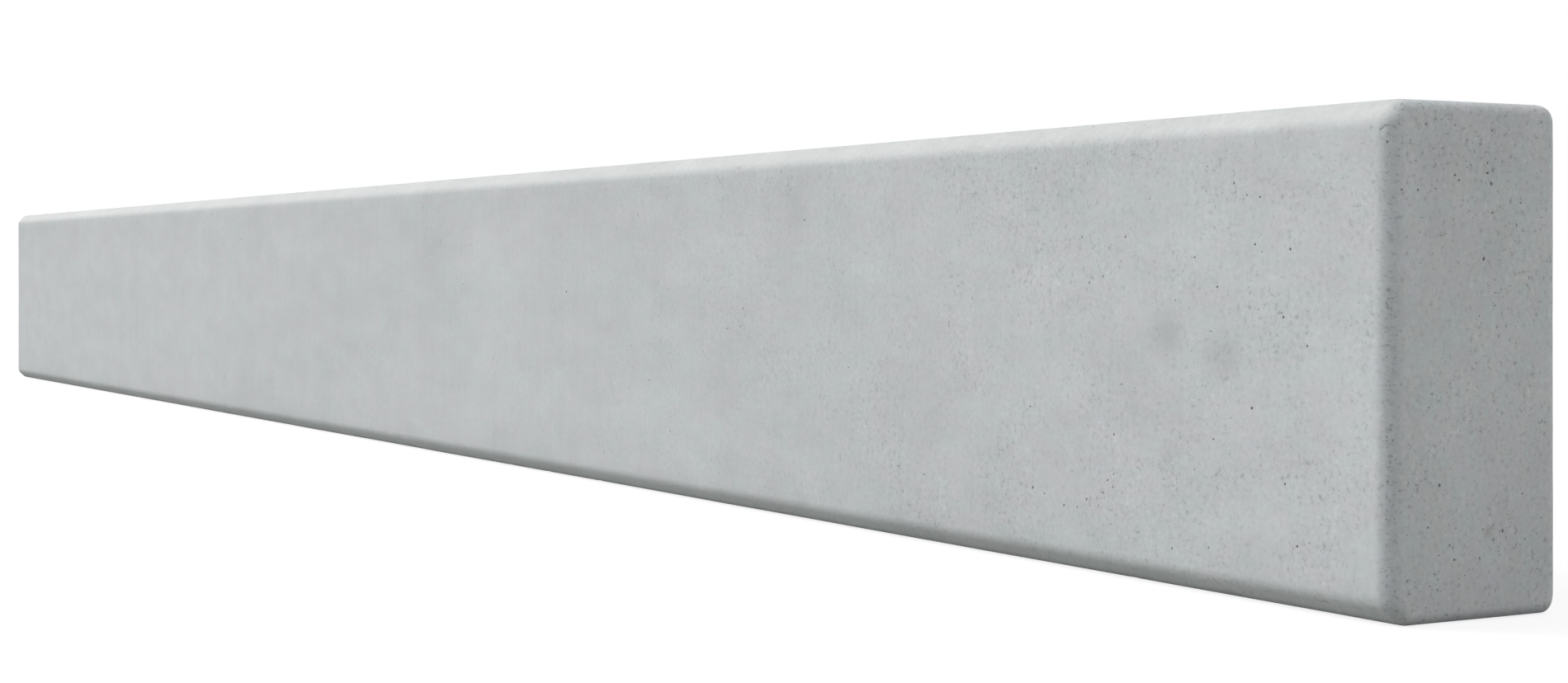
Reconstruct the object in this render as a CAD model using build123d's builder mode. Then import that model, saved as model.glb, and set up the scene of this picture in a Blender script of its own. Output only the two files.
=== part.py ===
"""A precast concrete retaining-wall sleeper: one solid cast bar that stands on its long edge.

X runs along its length, Y through its thickness with the face side towards -Y, and Z up.
The origin is the middle of the bottom edge, on the floor. All sizes are in millimetres.
"""
from build123d import *

import os

# Overall size of the cast bar
LENGTH = 2400
HEIGHT = 200
THICKNESS = 90

# Arrises left by the mould
FACE_CHAMFER = 8  # each leg of the bevel along the two long edges of the face side
FACE_SOFTENING = 8  # the radius that rounds both edges of that bevel
BACK_ARRIS = 8  # the radius of the two long edges of the back
END_ARRIS = 7.5  # the radius round the outline of each end face

with BuildPart() as sleeper:
    # The cast section, standing upright with its bottom edge on the floor
    with BuildSketch(Plane.YZ.offset(-LENGTH / 2)) as section:
        Rectangle(THICKNESS, HEIGHT, align=(Align.CENTER, Align.MIN))
        fillet(section.vertices().group_by(Axis.X)[-1], radius=BACK_ARRIS)
        chamfer(section.vertices().group_by(Axis.X)[0], length=FACE_CHAMFER)
        bevel_corners = section.vertices().sort_by(Axis.X)[:4]
        fillet(bevel_corners, radius=FACE_SOFTENING)
    extrude(amount=LENGTH)

    # Both ends, rounded right round their outline
    end_faces = sleeper.faces().filter_by(Axis.X)
    fillet(end_faces.edges(), radius=END_ARRIS)

sleeper.part.label = "sleeper"
os.makedirs("parts", exist_ok=True)
export_step(sleeper.part, "parts/sleeper.step")
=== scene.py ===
"""Looks of a precast concrete retaining-wall sleeper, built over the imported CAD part.

The CAD node is replaced by one closed mesh of the same size. It has the same bevels and long arrises, and
its ends are rounded a little less evenly. It adds the slight waviness of the mould, the blowholes that air
leaves in a cast face and a trowelled back. Its concrete is procedural. Lengths are in millimetres, apart
from those of the floor, the suns and the camera, which are in metres as the finished mesh is. Textures
are scaled in cells a metre.
"""

import math
import random
from types import SimpleNamespace

import bpy
import numpy as np
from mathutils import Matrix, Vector, noise
from mathutils.geometry import delaunay_2d_cdt


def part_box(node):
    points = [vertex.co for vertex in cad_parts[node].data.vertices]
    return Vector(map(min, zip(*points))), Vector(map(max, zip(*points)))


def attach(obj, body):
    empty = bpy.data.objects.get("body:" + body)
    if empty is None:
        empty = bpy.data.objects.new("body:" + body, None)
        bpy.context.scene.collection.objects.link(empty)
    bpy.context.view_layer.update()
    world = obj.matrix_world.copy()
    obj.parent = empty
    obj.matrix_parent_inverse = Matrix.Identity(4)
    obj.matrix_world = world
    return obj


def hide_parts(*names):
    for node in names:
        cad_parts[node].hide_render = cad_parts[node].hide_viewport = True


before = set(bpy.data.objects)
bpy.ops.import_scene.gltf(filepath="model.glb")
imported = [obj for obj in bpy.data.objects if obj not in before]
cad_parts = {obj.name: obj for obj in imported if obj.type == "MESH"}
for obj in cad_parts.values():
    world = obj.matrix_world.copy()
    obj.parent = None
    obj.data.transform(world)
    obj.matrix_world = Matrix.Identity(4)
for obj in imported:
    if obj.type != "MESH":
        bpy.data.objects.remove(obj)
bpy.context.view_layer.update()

# A millimetre in metres, the slack in comparing places, and the seed of the random draws
MM = 0.001
SLACK = 1e-6
SEED = 61

# The sleeper's size comes from the CAD node, and its bevels and arrises repeat those of the part's source
node_low, node_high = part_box("sleeper")
LENGTH, THICKNESS, HEIGHT = ((high - low) / MM for low, high in zip(node_low, node_high))
FACE_CHAMFER = 8.0
FACE_SOFTENING = 8.0
BACK_ARRIS = 8.0
END_ARRIS = 7.5

# The arris round an end takes END_ARRIS off the section at its sides, but only END_ARRIS_LOW at its top and
# bottom. Along the bar it reaches END_RUN, and only END_ARRIS_LOW at the bottom.
END_ARRIS_LOW = 4.7
END_RUN = 8.3

HALF_LENGTH = LENGTH / 2
HALF_THICKNESS = THICKNESS / 2
QUARTER = math.pi / 2

# How far a bevel and its softening reach from the sharp corner, the bevel's flat part, and the arcs
SOFT_SHARE = FACE_SOFTENING * math.tan(QUARTER / 4)
FACE_REACH = FACE_CHAMFER + SOFT_SHARE
BEVEL_FLAT = FACE_CHAMFER * math.sqrt(2) - 2 * SOFT_SHARE
SOFT_ARC = FACE_SOFTENING * QUARTER / 2
BACK_ARC = BACK_ARRIS * QUARTER

# The section walked once round from the middle of the bottom, by the face side, the top and the back:
# each run is (length, how far it turns). A run that turns is an arc.
RUNS = (
    (HALF_THICKNESS - FACE_REACH, 0.0),
    (SOFT_ARC, QUARTER / 2), (BEVEL_FLAT, 0.0), (SOFT_ARC, QUARTER / 2),
    (HEIGHT - 2 * FACE_REACH, 0.0),
    (SOFT_ARC, QUARTER / 2), (BEVEL_FLAT, 0.0), (SOFT_ARC, QUARTER / 2),
    (THICKNESS - FACE_REACH - BACK_ARRIS, 0.0),
    (BACK_ARC, QUARTER),
    (HEIGHT - 2 * BACK_ARRIS, 0.0),
    (BACK_ARC, QUARTER),
    (HALF_THICKNESS - BACK_ARRIS, 0.0),
)
RUN_STARTS = np.concatenate([[0.0], np.cumsum([length for length, _ in RUNS])])
GIRTH = RUN_STARTS[-1]

# Where the flats of the face side, the top and the back start, and where that of the back ends
FACE_START = RUN_STARTS[4]
TOP_START = RUN_STARTS[8]
BACK_START = RUN_STARTS[10]
BACK_END = RUN_STARTS[11]

# Half of the skin's length, measured over the rounded arris to where an end face starts
SKIN_REACH = HALF_LENGTH - END_RUN + END_RUN * QUARTER


def section_at(girth):
    """Points and outward normals of the section at these distances along its outline."""
    run_index = np.clip(np.searchsorted(RUN_STARTS, girth, side="right") - 1, 0, len(RUNS) - 1)
    points = np.zeros((len(girth), 2))
    normals = np.zeros((len(girth), 2))
    place = np.zeros(2)
    heading = math.pi
    for index, (length, turn) in enumerate(RUNS):
        chosen = run_index == index
        along = np.append(girth[chosen] - RUN_STARTS[index], length)
        angle = heading - turn * along / length
        normal = np.column_stack([-np.sin(angle), np.cos(angle)])
        if turn:
            radius = length / turn
            start_normal = np.array([-math.sin(heading), math.cos(heading)])
            reached = place + radius * (normal - start_normal)
        else:
            reached = place + along[:, None] * np.array([math.cos(heading), math.sin(heading)])
        points[chosen] = reached[:-1]
        normals[chosen] = normal[:-1]
        place = reached[-1]
        heading -= turn
    return points, normals


def skin_at(along, girth):
    """Points and outward normals of the skin: along the bar, and over the arris at each end."""
    section, outward = section_at(girth)
    past_end = np.clip(np.abs(along) - (HALF_LENGTH - END_RUN), 0.0, None)
    over_end = past_end > 0
    angle = past_end / END_RUN
    downward = np.clip(-outward[:, 1], 0.0, None)
    run = END_RUN + (END_ARRIS_LOW - END_RUN) * downward ** 2
    x = np.where(over_end, np.sign(along) * (HALF_LENGTH - run * (1 - np.sin(angle))), along)
    inset = outward * (END_ARRIS, END_ARRIS_LOW) * (1 - np.cos(angle))[:, None]
    points = np.column_stack([x, section - inset])
    normals = np.column_stack([np.sign(along) * np.sin(angle), outward * np.cos(angle)[:, None]])
    return points, normals


# The largest blowholes: (place along the skin, z, radius) on the face and near arris, and (y, z, radius)
# on the near end
FACE_HOLES = (
    (1038, 149, 0.5), (1085, 140, 0.5), (1144, 143, 0.6), (1123, 145, 0.55), (1127, 142, 0.4),
    (1140, 116, 0.6), (1154, 105, 0.5), (1012, 129, 0.5), (1022, 132, 0.4), (1110, 170, 0.5),
    (1118, 165, 0.45), (1126, 164, 0.5), (1055, 165, 0.4), (971, 181, 0.5), (973, 175, 0.4),
    (759, 161, 0.55), (967, 72, 0.5), (1121, 79, 0.65), (571, 68, 0.55), (1148, 26, 0.6),
    (1155, 28, 0.4), (1197, 183, 0.5), (1203, 165, 0.5), (969, 35, 0.6), (978, 33, 0.45),
    (993, 29, 0.5), (1003, 29, 0.45), (1010, 33, 0.6), (1022, 37, 0.5), (1029, 40, 0.45),
    (1030, 63, 0.5), (1097, 65, 0.5), (1141, 50, 0.55), (877, 34, 0.5), (451, 120, 0.7),
    (273, 124, 0.6), (-259, 161, 0.75), (-316, 171, 0.7), (-320, 144, 0.6),
)
END_HOLES = (
    (7, 168, 0.75), (5, 172, 0.6), (-10, 169, 0.5), (-12, 171, 0.55), (-31, 165, 0.5), (5, 176, 0.45),
    (4, 180, 0.4), (0, 186, 0.35), (-7, 189, 0.35), (-12, 190, 0.45), (-19, 192, 0.4), (-27, 190, 0.5),
    (-22, 175, 0.35), (-4, 175, 0.4), (-30, 149, 0.35), (3, 139, 0.75), (9, 131, 0.4), (9, 126, 0.4),
    (9, 121, 0.4), (15, 113, 0.35), (20, 113, 0.35), (-20, 53, 0.7), (13, 34, 0.7), (8, 31, 0.45),
    (31, 32, 0.4), (-10, 17, 0.35), (-7, 18, 0.35), (-25, 15, 0.35), (-27, 7, 0.35),
)

# A nick in the near arris just under the bevel, in the full form of a hole: (place along the skin, z,
# radius, how far it is drawn out, the angle of that direction)
NICK = (1195.0, 188.0, 0.55, 3.0, 0.72)

# The scattered blowholes of the face side, the top, the back and the front half of the underside, as (how
# many, where they start and end along the girth, smallest and largest radius), and those of each end
SCATTERED_HOLES = (
    (620, FACE_START, TOP_START, (0.22, 0.55)),
    (200, TOP_START, BACK_START, (0.25, 0.7)),
    (300, BACK_START, BACK_END, (0.3, 0.8)),
    (160, 4.0, FACE_START, (0.25, 0.7)),
)
SCATTERED_ON_END = 90
END_RADII = (0.22, 0.5)

# How holes lie: drawn out a little, about half of the scattered ones in loose groups, clear of the edges
MOST_STRETCH = 1.25
HOLES_PER_GROUP = 14
GROUPED_SHARE = 0.55
GROUP_SPREAD = (22.0, 14.0)
EDGE_MARGIN = 3.0

# The higher this power, the more of the scattered holes are small
SMALLNESS = 3

# Rings of a blowhole, as (share of its radius, share of its depth), its number of sides, and how much its
# depth and outline vary
OUTER_RING = 1.4
FULL_RINGS = ((OUTER_RING, 0.0), (1.08, 0.0), (0.8, 0.6), (0.42, 0.95))
SMALL_RINGS = ((OUTER_RING, 0.0), (1.05, 0.0), (0.65, 0.75))
SMALL_HOLE = 0.42
FULL_SIDES = 9
SMALL_SIDES = 6
DEPTH_PER_RADIUS = (0.9, 1.3)
OUTLINE_REACH = (0.88, 1.12)

# Least space between two holes, and between a hole's outer ring and the points of the grid
HOLE_GAP = 0.1
GRID_GAP = 0.4


def formed(rng, holes):
    """Each (across, up, radius) hole with how far it is drawn out, and in what direction."""
    return [(*hole, rng.uniform(1.0, MOST_STRETCH), rng.uniform(0, math.pi)) for hole in holes]


def scattered_holes(rng, count, low, high, radii):
    """Random holes in a box of the flat skin, most of them small, some drawn into loose groups."""
    holes = []
    groups = [(rng.uniform(low[0], high[0]), rng.uniform(low[1], high[1]))
              for _ in range(count // HOLES_PER_GROUP)]
    while len(holes) < count:
        radius = radii[0] + (radii[1] - radii[0]) * rng.random() ** SMALLNESS
        if groups and rng.random() < GROUPED_SHARE:
            middle = rng.choice(groups)
            place = (rng.gauss(middle[0], GROUP_SPREAD[0]), rng.gauss(middle[1], GROUP_SPREAD[1]))
        else:
            place = (rng.uniform(low[0], high[0]), rng.uniform(low[1], high[1]))
        inside = all(low[i] + EDGE_MARGIN < place[i] < high[i] - EDGE_MARGIN for i in (0, 1))
        if inside:
            holes.append((place[0], place[1], radius))
    return formed(rng, holes)


def spaced(holes):
    """The holes that keep clear of the ones before them."""
    kept = []
    for hole in holes:
        gaps = [math.hypot(hole[0] - other[0], hole[1] - other[1])
                - OUTER_RING * (hole[2] * hole[3] + other[2] * other[3]) for other in kept]
        if all(gap > HOLE_GAP for gap in gaps):
            kept.append(hole)
    return kept


def hole_points(rng, hole):
    """Plane points and depths of one hole's rings, slightly uneven in outline."""
    across, up, radius, stretch, turn = hole
    small = radius < SMALL_HOLE
    sides = SMALL_SIDES if small else FULL_SIDES
    depth = radius / stretch * rng.uniform(*DEPTH_PER_RADIUS)
    wobble = [rng.uniform(*OUTLINE_REACH) for _ in range(sides)]
    points = [(across, up, depth)]
    for ring_radius, ring_depth in SMALL_RINGS if small else FULL_RINGS:
        for side in range(sides):
            angle = 2 * math.pi * side / sides
            reach = radius * ring_radius * (wobble[side] if ring_radius <= 1 else 1.0)
            a = reach * math.cos(angle) * stretch
            b = reach * math.sin(angle) / stretch
            points.append((across + a * math.cos(turn) - b * math.sin(turn),
                           up + a * math.sin(turn) + b * math.cos(turn), depth * ring_depth))
    return points


def clear_of_holes(points, holes):
    """Which plane points stay outside every hole's outer ring."""
    keep = np.ones(len(points), bool)
    for across, up, radius, stretch, turn in holes:
        right, above = points[:, 0] - across, points[:, 1] - up
        a = (right * math.cos(turn) + above * math.sin(turn)) / stretch
        b = (above * math.cos(turn) - right * math.sin(turn)) * stretch
        keep &= np.hypot(a, b) > OUTER_RING * radius + GRID_GAP
    return keep


def with_holes(rng, grid, holes):
    """Plane points and depths: those of the grid, which have no depth, and those of the holes' rings."""
    flat = np.column_stack([grid, np.zeros(len(grid))])
    return np.concatenate([flat] + [hole_points(rng, hole) for hole in holes])


def steps(low, high, spacing):
    """Evenly spaced values from low to high, both included, about this far apart."""
    return np.linspace(low, high, max(2, round((high - low) / spacing) + 1))


def triangles(points):
    """Delaunay triangles of plane points, counter-clockwise."""
    flat = [Vector((p[0], p[1])) for p in points]
    found = delaunay_2d_cdt(flat, [], [], 0, SLACK)
    if len(found[0]) != len(flat):
        raise ValueError("two points of the mesh plan fall together")
    origin = [group[0] for group in found[3]]
    return np.array([[origin[i] for i in face] for face in found[2]])


# Spacing of the mesh's grid. Along the bar it narrows in the last stretch before an end, and again over the
# arris there. Round the section it is wide on the long flats and narrow elsewhere. On an end face the grid
# starts END_MARGIN inside the outline.
GRID_ALONG = 9.0
LAST_STRETCH = 30.0
GRID_LAST_STRETCH = 4.0
GRID_END_ARRIS = 1.2
GRID_FLAT = 6.0
GRID_ARRIS = 1.6
GRID_END = 5.0
END_MARGIN = 2.0

# Columns of the grid are told apart by their place along the bar, rounded to this many decimals
COLUMN_DIGITS = 4


def girth_steps():
    """Grid rows round the section, close together on the arrises."""
    rows = [steps(start, start + length, GRID_ARRIS if turn or length < 2 * GRID_FLAT else GRID_FLAT)[:-1]
            for start, (length, turn) in zip(RUN_STARTS, RUNS)]
    return np.concatenate(rows + [[GIRTH]])


def along_steps():
    """Grid columns along the bar, close together over the arris at each end."""
    straight = HALF_LENGTH - END_RUN
    near_end = straight - LAST_STRETCH
    right = np.concatenate([steps(0, near_end, GRID_ALONG)[:-1],
                            steps(near_end, straight, GRID_LAST_STRETCH)[:-1],
                            steps(straight, SKIN_REACH, GRID_END_ARRIS)])
    return np.concatenate([-right[:0:-1], right])


def skin_plan(rng):
    """The unrolled skin as (place along it, place round it, depth): its grid and its holes."""
    holes = [(x, FACE_START + z - FACE_REACH, *form) for x, z, *form in (NICK, *formed(rng, FACE_HOLES))]
    for count, first, last, radii in SCATTERED_HOLES:
        holes += scattered_holes(rng, count, (-SKIN_REACH, first), (SKIN_REACH, last), radii)
    holes = spaced(holes)
    columns = along_steps()
    grid = np.array([(column, row) for row in girth_steps() for column in columns])
    edge = (np.abs(grid[:, 0]) >= SKIN_REACH - SLACK) | (grid[:, 1] <= 0) | (grid[:, 1] >= GIRTH)
    return with_holes(rng, grid[edge | clear_of_holes(grid, holes)], holes)


def skin_faces(plan):
    """The skin's triangles, closed round the section: its first row also stands for its last."""
    first_row = {round(plan[i, 0], COLUMN_DIGITS): i for i in np.flatnonzero(plan[:, 1] <= 0)}
    joined = np.arange(len(plan))
    for i in np.flatnonzero(plan[:, 1] >= GIRTH):
        joined[i] = first_row[round(plan[i, 0], COLUMN_DIGITS)]
    return joined[triangles(plan)]


def end_plan(rng, side):
    """The inside of one end face as (y, z, depth): its grid and its holes."""
    low = (-HALF_THICKNESS + END_ARRIS, END_ARRIS_LOW)
    high = (HALF_THICKNESS - END_ARRIS, HEIGHT - END_ARRIS_LOW)
    holes = formed(rng, END_HOLES) if side > 0 else []
    holes = spaced(holes + scattered_holes(rng, SCATTERED_ON_END, low, high, END_RADII))
    grid = np.array([(y, z) for y in steps(low[0] + END_MARGIN, high[0] - END_MARGIN, GRID_END)
                     for z in steps(low[1] + END_MARGIN, high[1] - END_MARGIN, GRID_END)])
    return with_holes(rng, grid[clear_of_holes(grid, holes)], holes)


def sleeper_mesh():
    """The closed mesh's points, normals, depths and faces: its skin, and both end faces on its rims."""
    rng = random.Random(SEED)
    plan = skin_plan(rng)
    points, normals = skin_at(plan[:, 0], plan[:, 1])
    surfaces = [(points, normals, plan[:, 2], skin_faces(plan))]
    total = len(plan)
    for side in (-1, 1):
        rim = np.flatnonzero((plan[:, 0] * side >= SKIN_REACH - SLACK) & (plan[:, 1] < GIRTH))
        inner = end_plan(rng, side)
        index = np.concatenate([rim, np.arange(len(inner)) + total])
        faces = index[triangles(np.concatenate([points[rim, 1:], inner[:, :2]]))]
        end_points = np.column_stack([np.full(len(inner), side * HALF_LENGTH), inner[:, :2]])
        end_normals = np.tile([side, 0.0, 0.0], (len(inner), 1))
        surfaces.append((end_points, end_normals, inner[:, 2], faces if side > 0 else faces[:, ::-1]))
        total += len(inner)
    points, normals, depths, faces = (np.concatenate(values) for values in zip(*surfaces))

    # No face uses the points of the skin's last row
    used = np.unique(faces)
    renumber = np.zeros(total, int)
    renumber[used] = np.arange(len(used))
    return points[used], normals[used], depths[used], renumber[faces]


# How far a normal turns to the back where the trowelled skin starts, and from there to where it is whole
TROWELLED_FROM = 0.75
TROWELLED_RISE = 0.2


def bevel_share(normals):
    """1 on the bevel along the top of the face side, falling to 0 on the face and the top."""
    forward = np.clip(-normals[:, 1], 0.0, None)
    upward = np.clip(normals[:, 2], 0.0, None)
    return 4 * forward ** 2 * upward ** 2


def trowelled_share(normals):
    """1 on the back, which is trowelled in the open mould, falling to 0 over its arrises."""
    return np.clip((normals[:, 1] - TROWELLED_FROM) / TROWELLED_RISE, 0.0, 1.0)


# Waves of the mould: how long the slow and the quick ones are, how deep, and how much the quick ones add
SLOW_WAVE = 140.0
QUICK_WAVE = 45.0
WAVE_DEPTH = 0.1
QUICK_SHARE = 0.5

# Wear of the arrises: how strong it is, and how long its unevenness is
ARRIS_WEAR = 0.35
WEAR_LENGTH = 14.0

# Trowel marks: how long and high the strokes and the chatter across them are, how deep one unit of their
# noise goes, how many such units the strokes lie deep in the mean, and how much the chatter adds
STROKE = (260.0, 24.0)
CHATTER = (38.0, 15.0)
STROKE_DEPTH = 0.35
STROKE_MEAN = 1.2
CHATTER_SHARE = 0.35

# Shifts that keep one noise from repeating another
QUICK_SHIFT = (9, 4, 7)
WEAR_SHIFT = (3, 8, 1)
STROKE_SHIFT = 5.0
CHATTER_SHIFT = 2.0

# A blowhole's painted shade is darkest from this depth on
DARK_DEPTH = 0.5


def unevenness(points, normals):
    """How far the cast face stands behind the true shape: slow waves of the mould, softer arrises, and
    the long strokes of the trowel on the back."""
    sunk = np.zeros(len(points))
    trowelled = trowelled_share(normals)
    for i, (point, normal) in enumerate(zip(points, normals)):
        place = Vector(point)
        slow = noise.noise(place / SLOW_WAVE)
        quick = noise.noise(place / QUICK_WAVE + Vector(QUICK_SHIFT))
        on_arris = 1 - max(abs(value) for value in normal)
        wobble = noise.noise(place / WEAR_LENGTH + Vector(WEAR_SHIFT))
        waves = 1 + QUICK_SHARE + slow + QUICK_SHARE * quick
        sunk[i] = WAVE_DEPTH * waves + ARRIS_WEAR * on_arris * (1 + wobble)
        if trowelled[i]:
            stroke = noise.noise(Vector((place.x / STROKE[0], STROKE_SHIFT, place.z / STROKE[1])))
            chatter = noise.noise(Vector((place.x / CHATTER[0], CHATTER_SHIFT, place.z / CHATTER[1])))
            marks = STROKE_MEAN + stroke + CHATTER_SHARE * chatter
            sunk[i] += trowelled[i] * STROKE_DEPTH * marks
    return sunk


def build_sleeper():
    """The visible sleeper, which stands for the CAD node."""
    points, normals, depths, faces = sleeper_mesh()
    sunk = depths + unevenness(points, normals)
    placed = (points - normals * sunk[:, None]) * MM
    mesh = bpy.data.meshes.new("cast_sleeper")
    mesh.from_pydata(placed.tolist(), [], faces.tolist())
    mesh.validate()
    mesh.shade_smooth()
    # The first attribute is each point's share of its blowhole's depth, which the concrete paints as shade
    for name, values in (("hollow_shade", np.clip(depths / DARK_DEPTH, 0, 1)),
                         ("trowelled", trowelled_share(normals)), ("bevel", bevel_share(normals))):
        attribute = mesh.attributes.new(name, "FLOAT", "POINT")
        attribute.data.foreach_set("value", values.astype(np.float32))
    piece = bpy.data.objects.new("cast_sleeper", mesh)
    bpy.context.scene.collection.objects.link(piece)
    return piece


# Concrete

class Nodes:
    """Short calls to add and link shader nodes."""

    def __init__(self, tree):
        self.tree = tree

    def add(self, kind, **settings):
        """A node with these properties and inputs; an input is given by its name or number."""
        node = self.tree.nodes.new(kind)
        inputs = settings.pop("inputs", {})
        for name, value in settings.items():
            setattr(node, name, value)
        for name, value in inputs.items():
            if isinstance(value, bpy.types.NodeSocket):
                self.tree.links.new(value, node.inputs[name])
            else:
                node.inputs[name].default_value = value
        return node

    def math(self, operation, first, second=0.0, third=0.0):
        """The result of a Math node."""
        inputs = {0: first, 1: second}
        if operation == "MULTIPLY_ADD":
            inputs[2] = third
        return self.add("ShaderNodeMath", operation=operation, inputs=inputs).outputs[0]

    def total(self, start, *terms):
        """start plus the product of each (value, factor) term."""
        for value, factor in terms:
            start = self.math("MULTIPLY_ADD", value, factor, start)
        return start

    def changed(self, value, share, by):
        """value where share is 0, changed by this part of itself where share is 1."""
        return self.math("MULTIPLY", value, self.math("MULTIPLY_ADD", share, by, 1.0))

    def ramp(self, value, low, high, to_low=0.0, to_high=1.0):
        """value taken from low..high to to_low..to_high, clamped and smooth."""
        inputs = {"Value": value, "From Min": low, "From Max": high, "To Min": to_low, "To Max": to_high}
        return self.add("ShaderNodeMapRange", interpolation_type="SMOOTHSTEP", inputs=inputs).outputs[0]

    def mix(self, share, first, second, blend="MIX"):
        """The colour of a Mix node."""
        node = self.add("ShaderNodeMix", data_type="RGBA", blend_type=blend)
        for socket, value in ((node.inputs[0], share), (node.inputs[6], first), (node.inputs[7], second)):
            if isinstance(value, bpy.types.NodeSocket):
                self.tree.links.new(value, socket)
            else:
                socket.default_value = value
        return node.outputs[2]

    def scaled(self, place, scale):
        """The place, scaled along each axis."""
        return self.add("ShaderNodeMapping", inputs={"Vector": place, "Scale": scale}).outputs[0]

    def noise(self, place, cells, detail, roughness):
        """The value of a Noise texture with this many cells a metre, or as many along each axis."""
        if isinstance(cells, tuple):
            place, cells = self.scaled(place, cells), 1.0
        inputs = {"Vector": place, "Scale": cells, "Detail": detail, "Roughness": roughness}
        return self.add("ShaderNodeTexNoise", inputs=inputs).outputs[0]

    def attribute(self, name):
        """The value of the mesh's attribute of this name."""
        return self.add("ShaderNodeAttribute", attribute_name=name).outputs["Fac"]


GREENISH_GREY = (0.464, 0.505, 0.513, 1)
ROSY_GREY = (0.483, 0.490, 0.511, 1)
BUFF_GREY = (0.490, 0.500, 0.486, 1)
# Greys of the bevels and the arris: slight tints of their own, and lighter as painted light, a painted
# highlight on the top bevel and the arris and painted light on the bottom bevel
TOP_BEVEL_TINT_AND_HIGHLIGHT = (0.509, 0.520, 0.519, 1)
LOW_BEVEL_TINT_AND_LIGHT = (0.484, 0.516, 0.498, 1)
ARRIS_TINT_AND_HIGHLIGHT = (0.477, 0.509, 0.522, 1)
# The dark grey of specks and pores, which is also painted as shade into the blowholes
SPECK_AND_SHADE_GREY = (0.11, 0.118, 0.12, 1)
BROWN_GREY = (0.30, 0.285, 0.26, 1)

# How much of the tint is fine, how far its noise swings from one tint to the other and how much wider on
# the ends, how strong the buff tint is and how much stronger there, and how much of their greys the bevels
# and the arris take. These greys are lighter than the concrete, as painted light.
FINE_SHARE = 0.75
TINT_SWING = 0.14
END_TINT = 0.9
BUFF_SHARE = 0.25
END_BUFF = 0.45
PLACE_TINT = 0.8

# Noise textures, as (cells a metre or as many along X, Y and Z, detail, roughness). The tints, clouds,
# patches and mottling take a place that is DRAWN_OUT along the bar.
FINE_TINT = (110.0, 4.0, 0.75)
BROAD_TINT = (21.0, 2.0, 0.5)
BUFF_TINT = (125.0, 3.0, 0.7)
CLOUDS = (12.0, 3.0, 0.55)
PATCHES = (48.0, 2.0, 0.6)
MOTTLING = (200.0, 3.0, 0.8)
STREAKS = ((260.0, 60.0, 14.0), 2.0, 0.6)
GRAIN = (430.0, 4.0, 0.62)
CROWDS = (26.0, 2.0, 0.5)
RIPPLES = ((480.0, 480.0, 1000.0), 1.0, 0.5)
TROWEL_DRAG = ((45.0, 200.0, 420.0), 4.0, 0.65)
DRAWN_OUT = (0.45, 1.0, 1.0)

# Where a noise starts and ends to count, and for crowds also from what share to what: buff patches, crowds
# of specks, those near the top, dark marks, light flecks and the painted shade of ripples
BUFF_RAMP = (0.42, 0.66)
CROWD_RAMP = (0.36, 0.66, 0.3, 1.0)
TOP_CROWD_RAMP = (0.55, 0.4)
MARK_RAMP = (0.44, 0.26)
FLECK_RAMP = (0.53, 0.76)
RIPPLE_RAMP = (0.42, 0.30)

# How crowds change on the top bevel and towards the face's far end, as parts of themselves, and what the
# ends add to them; how the fine textures change towards that far end; and how much the painted shade of
# ripples counts as marks
BEVEL_CROWD = -0.85
FAR_CROWD = -0.76
END_CROWD = 0.4
FAR_FINENESS = -0.35
RIPPLE_SHARE = 0.65

# How much brighter each place on the bar is, or darker below 0. The darker band near the top, under the
# top bevel, is painted shade, and the brighter arris is a painted highlight.
PLACE_SHADES = (
    ("high", -0.03), ("low_face", -0.02), ("arris", 0.025), ("low_beside_arris", -0.04),
    ("high_beside_arris", 0.055),
)

# How bright the concrete is in the mean, and how much each texture changes that
MEAN_SHADE = 1.022
CLOUD_DEPTH = 0.21
PATCH_DEPTH = 0.14
STREAK_DEPTH = 0.07
MOTTLING_DEPTH = 0.17
GRAIN_DEPTH = 0.16
MARK_DEPTH = 0.33
FLECK_DEPTH = 0.11

# Voronoi specks, as (cells a metre, share of the cells that hold one, its radius in cells), the share of
# its radius where a speck is full, how strong the faintest is, how dark specks and pores are, and how
# dark the painted shade in the blowholes is. Noise of SHIFT_CELLS a metre moves a speck's points by up to
# half of SPECK_SHIFT.
SPECKS = (440.0, 0.8, 0.29)
PORES = (230.0, 0.35, 0.11)
SPECK_CORE = 0.1
FAINTEST_SPECK = 0.3
SPECK_DARKNESS = 0.74
PORE_DARKNESS = 0.8
HOLLOW_SHADE_DARKNESS = 0.72
SPECK_SHIFT = 1.6
SHIFT_CELLS = 1300.0

# Soft dark smudges and broad patches round places on the face, as (x, z, reach, how much darker, or lighter
# below 0), and a small brownish mark on the near end, as (y, z, reach, how strong)
SMUDGES = (
    (1067, 107, 17, 0.13), (1103, 99, 19, 0.13), (1068, 56, 10, 0.09), (750, 162, 18, 0.09),
    (762, 160, 60, 0.04), (864, 75, 70, 0.04), (209, 165, 70, 0.04), (975, 100, 60, -0.055),
    (340, 110, 130, -0.03), (-1050, 120, 250, 0.03),
)
BROWN_MARK = (5.5, 34.0, 3.5, 0.5)

# How rough the surface is and how much the clouds add to that, how strongly it reflects, how strong and how
# high its relief is, and how much of that are the grain, the pores and the drag of the trowel
ROUGHNESS = 0.66
CLOUD_ROUGHNESS = 0.2
REFLECTION = 0.23
RELIEF_STRENGTH = 0.35
RELIEF_HEIGHT = 0.4
GRAIN_RELIEF = 0.5
PORE_RELIEF = -0.8
DRAG_RELIEF = 1.5


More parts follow.
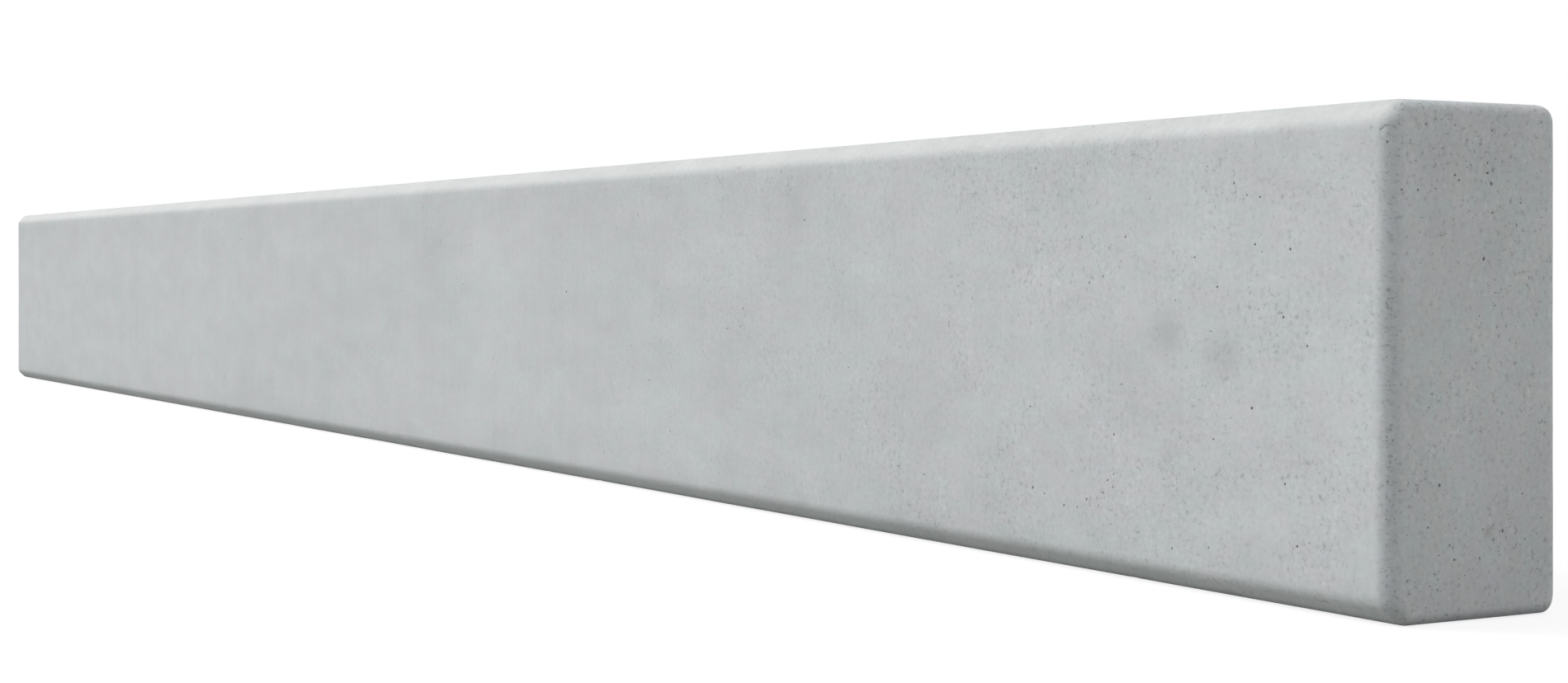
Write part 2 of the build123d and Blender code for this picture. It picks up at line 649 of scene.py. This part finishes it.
def uneven_place(nodes, place):
    """The place, shifted a little by noise, so that specks cut from it aren't round."""
    shift = nodes.add("ShaderNodeTexNoise", inputs={"Vector": place, "Scale": SHIFT_CELLS, "Detail": 1.0})
    shift = nodes.add("ShaderNodeVectorMath", operation="SUBTRACT",
                      inputs={0: shift.outputs["Color"], 1: (0.5, 0.5, 0.5)}).outputs[0]
    return nodes.add("ShaderNodeVectorMath", operation="MULTIPLY_ADD",
                     inputs={0: shift, 1: [SPECK_SHIFT * MM] * 3, 2: place}).outputs[0]


def specks(nodes, place, cells, share, radius):
    """Small specks of uneven strength, at the middles of a chosen share of a Voronoi texture's cells."""
    voronoi = nodes.add("ShaderNodeTexVoronoi", inputs={"Vector": place, "Scale": cells, "Randomness": 1.0})
    dot = nodes.ramp(voronoi.outputs["Distance"], radius, radius * SPECK_CORE)
    pick = nodes.add("ShaderNodeSeparateColor", inputs={0: voronoi.outputs["Color"]})
    chosen = nodes.math("LESS_THAN", pick.outputs[0], share)
    strength = nodes.total(FAINTEST_SPECK, (pick.outputs[1], 1 - FAINTEST_SPECK))
    return nodes.math("MULTIPLY", dot, nodes.math("MULTIPLY", chosen, strength))


def spot(nodes, place, middle, reach):
    """1 at the middle, falling softly to 0 at this reach from it."""
    away = nodes.add("ShaderNodeVectorMath", operation="DISTANCE", inputs={0: place, 1: middle})
    return nodes.ramp(away.outputs["Value"], reach, 0.0)


def places_on_bar(nodes, place_mm):
    """Shares, from 0 to 1, of the places on the bar whose concrete looks a little different. Each rises
    between two distances, most of them measured from the bar's outline."""
    axes = nodes.add("ShaderNodeSeparateXYZ", inputs={0: place_mm}).outputs
    out = nodes.math("ABSOLUTE", axes["X"])
    forward = nodes.math("MULTIPLY", axes["Y"], -1.0)
    up = axes["Z"]
    face = nodes.ramp(forward, HALF_THICKNESS - 7, HALF_THICKNESS - 2)
    over_arris = nodes.ramp(out, HALF_LENGTH - 7.5, HALF_LENGTH - 4)
    to_far_end = nodes.ramp(axes["X"], HALF_LENGTH - 80, 200)
    under_face = nodes.ramp(forward, HALF_THICKNESS - 15, HALF_THICKNESS - 10)
    beside_arris = nodes.math("MULTIPLY", nodes.ramp(out, HALF_LENGTH - 10, HALF_LENGTH - 5),
                              nodes.ramp(forward, HALF_THICKNESS - 30, HALF_THICKNESS - 9))
    return SimpleNamespace(
        end=nodes.ramp(out, HALF_LENGTH - 6, HALF_LENGTH - 2),
        arris=nodes.math("MULTIPLY", over_arris, face),
        far_face=nodes.math("MULTIPLY", to_far_end, face),
        high=nodes.ramp(up, HEIGHT - 60, HEIGHT - 14),
        low_face=nodes.math("MULTIPLY", nodes.ramp(up, 45, 18), face),
        top_bevel=nodes.attribute("bevel"),
        low_bevel=nodes.math("MULTIPLY", nodes.ramp(up, 12, 4), under_face),
        low_beside_arris=nodes.math("MULTIPLY", nodes.ramp(up, 160, 110), beside_arris),
        high_beside_arris=nodes.math("MULTIPLY", nodes.ramp(up, 110, 160), beside_arris),
    )


def tinted_grey(nodes, drawn, on):
    """The colour before shading: greenish, rosy and buff patches from a few millimetres to a few
    centimetres wide, stronger on the ends, and the greys of both bevels and of the arris, which are lighter
    as
    painted light: a painted highlight on the top bevel and the arris, painted light on the bottom bevel."""
    tint = nodes.total(-0.5, (nodes.noise(drawn, *FINE_TINT), FINE_SHARE),
                       (nodes.noise(drawn, *BROAD_TINT), 1 - FINE_SHARE))
    tint = nodes.changed(tint, on.end, END_TINT)
    colour = nodes.mix(nodes.ramp(tint, -TINT_SWING, TINT_SWING), GREENISH_GREY, ROSY_GREY)
    buff = nodes.ramp(nodes.noise(drawn, *BUFF_TINT), *BUFF_RAMP)
    buff = nodes.math("MULTIPLY", buff, nodes.total(BUFF_SHARE, (on.end, END_BUFF)))
    colour = nodes.mix(buff, colour, BUFF_GREY)
    # Painted highlight on the top bevel and the arris, painted light on the bottom bevel, each slightly
    # tinted
    places = ((on.top_bevel, TOP_BEVEL_TINT_AND_HIGHLIGHT), (on.low_bevel, LOW_BEVEL_TINT_AND_LIGHT), (on.arris, ARRIS_TINT_AND_HIGHLIGHT))
    for share, grey in places:
        colour = nodes.mix(nodes.math("MULTIPLY", share, PLACE_TINT), colour, grey)
    return colour


def crowding(nodes, place, cloud, on):
    """How thick specks and marks stand: in crowds, thicker near the top and on the ends, and thinner on
    the top bevel and towards the face's far end."""
    crowd = nodes.ramp(nodes.noise(place, *CROWDS), *CROWD_RAMP)
    near_top = nodes.math("MULTIPLY", on.high, nodes.ramp(cloud, *TOP_CROWD_RAMP))
    crowd = nodes.math("MAXIMUM", crowd, near_top)
    crowd = nodes.changed(crowd, on.top_bevel, BEVEL_CROWD)
    crowd = nodes.changed(crowd, on.far_face, FAR_CROWD)
    return nodes.total(crowd, (on.end, END_CROWD))


def even_shade(nodes, place, drawn, cloud, grain, on):
    """How bright the concrete is without its marks: clouds, patches, mottling, faint upright streaks and
    grain, each about 0.5 in the mean, and the places on the bar, with painted shade near the top and a
    painted highlight on the arris."""
    broad = ((cloud, CLOUD_DEPTH), (nodes.noise(drawn, *PATCHES), PATCH_DEPTH),
             (nodes.noise(place, *STREAKS), STREAK_DEPTH))
    fine = ((nodes.noise(drawn, *MOTTLING), MOTTLING_DEPTH), (grain, GRAIN_DEPTH))
    fine_shade = nodes.total(-0.5 * sum(depth for _, depth in fine), *fine)
    fine_shade = nodes.changed(fine_shade, on.far_face, FAR_FINENESS)
    shade = nodes.total(MEAN_SHADE - 0.5 * sum(depth for _, depth in broad), *broad, (fine_shade, 1.0))
    # The places add painted shade near the top and a painted highlight on the arris
    return nodes.total(shade, *((getattr(on, name), change) for name, change in PLACE_SHADES))


def marked(nodes, shade, place, grain, crowd, on):
    """The shade with dark marks and light flecks, which are the grain's extremes where specks crowd, and
    with the painted shade of fine ripples on the arris."""
    dark_grain = nodes.math("MULTIPLY", nodes.ramp(grain, *MARK_RAMP), crowd)
    light_grain = nodes.math("MULTIPLY", nodes.ramp(grain, *FLECK_RAMP), crowd)
    # Painted shade of fine ripples along the arris
    ripple_shade = nodes.math("MULTIPLY", nodes.ramp(nodes.noise(place, *RIPPLES), *RIPPLE_RAMP), on.arris)
    marks = nodes.total(dark_grain, (ripple_shade, RIPPLE_SHARE))
    return nodes.total(shade, (marks, -MARK_DEPTH), (light_grain, FLECK_DEPTH))


def smudged(nodes, shade, place_mm):
    """The shade with the smudges and broad patches round places on the face."""
    for x, z, reach, darker in SMUDGES:
        shade = nodes.total(shade, (spot(nodes, place_mm, (x, -HALF_THICKNESS, z), reach), -darker))
    return shade


def concrete():
    """Smooth cast concrete: clouded grey with fine specks, pores, faint upright streaks and smudges."""
    material = bpy.data.materials.new("cast_concrete")
    material.use_nodes = True
    nodes = Nodes(material.node_tree)
    surface = material.node_tree.nodes["Principled BSDF"]
    place = nodes.add("ShaderNodeTexCoord").outputs["Object"]
    place_mm = nodes.scaled(place, [1 / MM] * 3)
    drawn = nodes.scaled(place, DRAWN_OUT)
    on = places_on_bar(nodes, place_mm)
    cloud = nodes.noise(drawn, *CLOUDS)
    grain = nodes.noise(place, *GRAIN)
    crowd = crowding(nodes, place, cloud, on)

    # Colour, with the brownish mark
    shade = even_shade(nodes, place, drawn, cloud, grain, on)
    shade = marked(nodes, smudged(nodes, shade, place_mm), place, grain, crowd, on)
    shade = nodes.add("ShaderNodeCombineColor", inputs={0: shade, 1: shade, 2: shade}).outputs[0]
    colour = nodes.mix(1.0, tinted_grey(nodes, drawn, on), shade, "MULTIPLY")
    y, z, reach, strength = BROWN_MARK
    mark = nodes.math("MULTIPLY", spot(nodes, place_mm, (HALF_LENGTH, y, z), reach), strength)
    colour = nodes.mix(mark, colour, BROWN_GREY)

    # Specks, pores, and painted shade in the blowholes
    pores = specks(nodes, place, *PORES)
    dots_and_hollow_shade = nodes.math("MULTIPLY", specks(nodes, uneven_place(nodes, place), *SPECKS), SPECK_DARKNESS)
    dots_and_hollow_shade = nodes.math("MULTIPLY", dots_and_hollow_shade, crowd)
    # The blowholes darken with depth: painted shade in the hollows
    for dark, darkness in ((pores, PORE_DARKNESS), (nodes.attribute("hollow_shade"), HOLLOW_SHADE_DARKNESS)):
        dots_and_hollow_shade = nodes.math("MAXIMUM", dots_and_hollow_shade, nodes.math("MULTIPLY", dark, darkness))
    colour = nodes.mix(dots_and_hollow_shade, colour, SPECK_AND_SHADE_GREY)

    # Relief: grain and pores, and the coarser drag of the trowel on the back
    drag = nodes.math("MULTIPLY", nodes.noise(place, *TROWEL_DRAG), nodes.attribute("trowelled"))
    height = nodes.total(0.0, (grain, GRAIN_RELIEF), (pores, PORE_RELIEF), (drag, DRAG_RELIEF))
    bump = nodes.add("ShaderNodeBump", inputs={"Strength": RELIEF_STRENGTH, "Distance": RELIEF_HEIGHT * MM,
                                               "Height": height})

    material.node_tree.links.new(colour, surface.inputs["Base Color"])
    roughness = nodes.total(ROUGHNESS, (cloud, CLOUD_ROUGHNESS))
    material.node_tree.links.new(roughness, surface.inputs["Roughness"])
    material.node_tree.links.new(bump.outputs[0], surface.inputs["Normal"])
    surface.inputs["Specular IOR Level"].default_value = REFLECTION
    return material


# Floor, world, lights and camera

def see_straight(nodes):
    """1 for what the camera sees, directly or in a reflection or through glass, else 0."""
    rays = nodes.add("ShaderNodeLightPath").outputs
    seen = nodes.math("MAXIMUM", rays["Is Camera Ray"], rays["Is Glossy Ray"])
    return nodes.math("MAXIMUM", seen, rays["Is Transmission Ray"])


# The floor reaches this far each way. It lights the object as one grey, and the camera sees another grey
# with a glow, which together are white with a light shadow.
FLOOR_REACH = 40.0
FLOOR_GREY = (0.35, 0.35, 0.35, 1)
SEEN_GREY = (0.22, 0.22, 0.22, 1)
SEEN_GLOW = 0.8


def build_floor():
    """A plain pale floor that shows white and keeps a light shadow."""
    mesh = bpy.data.meshes.new("floor")
    corners = [(x * FLOOR_REACH, y * FLOOR_REACH, 0) for x, y in ((-1, -1), (1, -1), (1, 1), (-1, 1))]
    mesh.from_pydata(corners, [], [(0, 1, 2, 3)])
    floor = bpy.data.objects.new("floor", mesh)
    bpy.context.scene.collection.objects.link(floor)
    material = bpy.data.materials.new("floor")
    material.use_nodes = True
    nodes = Nodes(material.node_tree)
    material.node_tree.nodes.remove(material.node_tree.nodes["Principled BSDF"])
    pale = nodes.add("ShaderNodeBsdfDiffuse", inputs={"Color": FLOOR_GREY})
    faint = nodes.add("ShaderNodeBsdfDiffuse", inputs={"Color": SEEN_GREY})
    glow = nodes.add("ShaderNodeEmission", inputs={"Color": (1, 1, 1, 1), "Strength": SEEN_GLOW})
    shown = nodes.add("ShaderNodeAddShader", inputs={0: faint.outputs[0], 1: glow.outputs[0]})
    both = nodes.add("ShaderNodeMixShader",
                     inputs={0: see_straight(nodes), 1: pale.outputs[0], 2: shown.outputs[0]})
    output = material.node_tree.nodes["Material Output"]
    material.node_tree.links.new(both.outputs[0], output.inputs["Surface"])
    mesh.materials.append(material)


# Strength of the light on the object from the horizon, and from straight above
WORLD_LOW = 0.3
WORLD_HIGH = 1.0


def build_world():
    """White behind the object, and on it a soft even light that grows from the horizon to straight above."""
    world = bpy.data.worlds.new("studio")
    bpy.context.scene.world = world
    world.use_nodes = True
    nodes = Nodes(world.node_tree)
    background = world.node_tree.nodes["Background"]
    direction = nodes.add("ShaderNodeTexCoord").outputs["Generated"]
    up = nodes.add("ShaderNodeSeparateXYZ", inputs={0: direction}).outputs["Z"]
    dome = nodes.total(WORLD_LOW, (nodes.math("MAXIMUM", up, 0.0), WORLD_HIGH - WORLD_LOW))
    seen = see_straight(nodes)
    lit = nodes.math("MULTIPLY", nodes.math("SUBTRACT", 1.0, seen), dome)
    background.inputs["Color"].default_value = (1, 1, 1, 1)
    world.node_tree.links.new(nodes.math("ADD", lit, seen), background.inputs["Strength"])


# How far from the middle the suns stand, in metres, which makes no difference to their light
SUN_DISTANCE = 3


def add_sun(name, towards, strength, softness, colour=(1.0, 1.0, 1.0)):
    """A far soft light that shines from the direction towards; softness is its width in degrees."""
    data = bpy.data.lights.new(name, "SUN")
    data.color = colour
    data.energy = strength
    data.angle = math.radians(softness)
    lamp = bpy.data.objects.new(name, data)
    lamp.location = Vector(towards) * SUN_DISTANCE
    lamp.rotation_euler = (-Vector(towards)).to_track_quat("-Z", "Y").to_euler()
    bpy.context.scene.collection.objects.link(lamp)


def build_lights():
    """The key light, from the far left and above the face side, and a weak one on the near end."""
    add_sun("key", towards=(-0.697, -0.507, 0.507), strength=2.85, softness=42, colour=(1.0, 0.99, 0.975))
    add_sun("end_fill", towards=(0.62, 0.72, 0.3), strength=0.56, softness=40)


# The camera stands low beside the near end and looks along the face side. Its heading is in radians, its
# focal length and the horizon's height are in pixels of a picture this wide, and its sensor is in
# millimetres.
CAMERA_PLACE = (1.87827, -0.68714, 0.13585)
CAMERA_HEADING = 0.5125
FOCAL_PIXELS = 2933.0
PICTURE_WIDTH = 1900
HORIZON_ABOVE_MIDDLE = 90.0
SENSOR = 36.0


def build_camera():
    """The photograph's view: level, with the picture shifted so that upright edges stay upright."""
    data = bpy.data.cameras.new("camera")
    data.sensor_width = SENSOR
    data.lens = FOCAL_PIXELS / PICTURE_WIDTH * SENSOR
    data.shift_y = -HORIZON_ABOVE_MIDDLE / PICTURE_WIDTH
    camera = bpy.data.objects.new("camera", data)
    camera.location = CAMERA_PLACE
    forward = Vector((-math.cos(CAMERA_HEADING), math.sin(CAMERA_HEADING), 0))
    camera.rotation_euler = forward.to_track_quat("-Z", "Y").to_euler()
    bpy.context.scene.collection.objects.link(camera)
    bpy.context.scene.camera = camera


sleeper = build_sleeper()
sleeper.data.materials.append(concrete())
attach(sleeper, "root")
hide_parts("sleeper")

build_floor()
build_world()
build_lights()
build_camera()
bpy.context.scene.view_settings.view_transform = "Standard"
